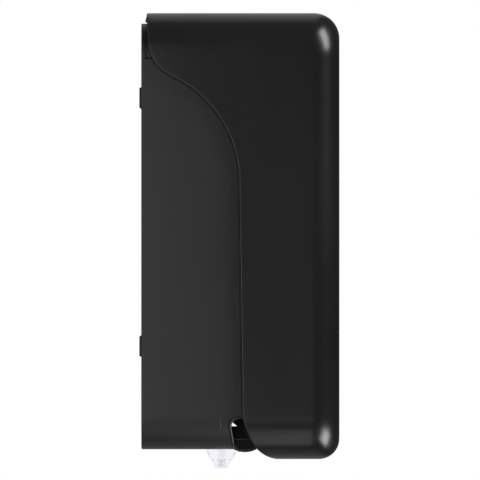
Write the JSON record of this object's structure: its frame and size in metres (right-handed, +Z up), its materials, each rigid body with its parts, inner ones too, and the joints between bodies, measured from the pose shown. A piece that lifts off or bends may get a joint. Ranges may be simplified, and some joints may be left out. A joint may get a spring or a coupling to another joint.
{
  "type": "wall mounted soap dispenser",
  "caption": "Push-operated wall soap dispenser with a bottom-hinged cover, a lever-driven pump and a refill bottle inside.",
  "frame": {"origin": "centre of the upper wall pad's rear face, on the wall", "axes": "+Y into the wall, so the front faces -Y, +Z up, +X to the right of someone who faces the wall"},
  "size_m": [0.1, 0.1305, 0.2974],
  "materials": {
    "cover_plastic": "satin black moulded ABS",
    "housing_plastic": "dark grey moulded ABS, fine satin",
    "paddle_plastic": "satin black moulded ABS",
    "chassis_plastic": "black moulded, matt",
    "lever_plastic": "grey acetal",
    "smoked_plastic": "smoked clear, polished",
    "pump_plastic": "translucent white polypropylene",
    "bottle_plastic": "milky white polyethylene",
    "pad_rubber": "black rubber",
    "silicone": "translucent silicone",
    "steel": "zinc-plated steel",
    "lock_metal": "nickel-plated zinc"
  },
  "bodies": {
    "housing": {"rear_housing": "housing_plastic", "upper_wall_pad": "pad_rubber", "lower_wall_pad": "pad_rubber", "pump_chassis": "chassis_plastic", "chassis_screw_1": "steel", "chassis_screw_2": "steel", "chassis_screw_3": "steel", "chassis_screw_4": "steel", "latch_keeper": "steel", "reservoir_bottle": "bottle_plastic", "neck_gasket": "silicone", "bottle_collar": "pump_plastic", "pump_cylinder": "pump_plastic", "inlet_ball": "steel", "pump_spring": "steel", "lever_pin": "steel"},
    "outlet": {"nozzle": "pump_plastic", "piston_rod": "pump_plastic", "piston_seal": "silicone", "outlet_valve": "silicone"},
    "lever": {"dispense_lever": "lever_plastic"},
    "cover": {"front_cover": "cover_plastic", "hinge_pin_left": "steel", "hinge_pin_right": "steel", "paddle_pin": "steel", "sight_window": "smoked_plastic", "lock_body": "lock_metal"},
    "paddle": {"push_paddle": "paddle_plastic"},
    "lock": {"lock_barrel": "lock_metal", "lock_cam": "steel", "cam_screw": "steel"}
  },
  "joints": [
    {"name": "cover_hinge", "type": "hinge", "parent": "housing", "child": "cover", "pos_m": [0, -0.096, -0.222], "axis": [1, 0, 0], "range_deg": [0, 90]},
    {"name": "paddle_push", "type": "hinge", "parent": "cover", "child": "paddle", "pos_m": [0, -0.121, -0.116], "axis": [1, 0, 0], "range_deg": [0, 3.75], "stiffness_Nm_per_rad": 4},
    {"name": "lever_turn", "type": "hinge", "parent": "housing", "child": "lever", "pos_m": [0, -0.099, -0.178], "axis": [1, 0, 0], "range_deg": [0, 9.7]},
    {"name": "nozzle_lift", "type": "slide", "parent": "housing", "child": "outlet", "axis": [0, 0, 1], "range_m": [0, 0.0081], "deforming": ["pump_spring"]},
    {"name": "lock_turn", "type": "hinge", "parent": "cover", "child": "lock", "pos_m": [0, -0.03, 0.04], "axis": [0, 0, 1], "range_deg": [0, 90]}
  ],
  "couplings": [
    {"joint": "lever_turn", "follows": "paddle_push", "ratio": 2.56},
    {"joint": "nozzle_lift", "follows": "paddle_push", "m_per_rad": 0.1222}
  ]
}
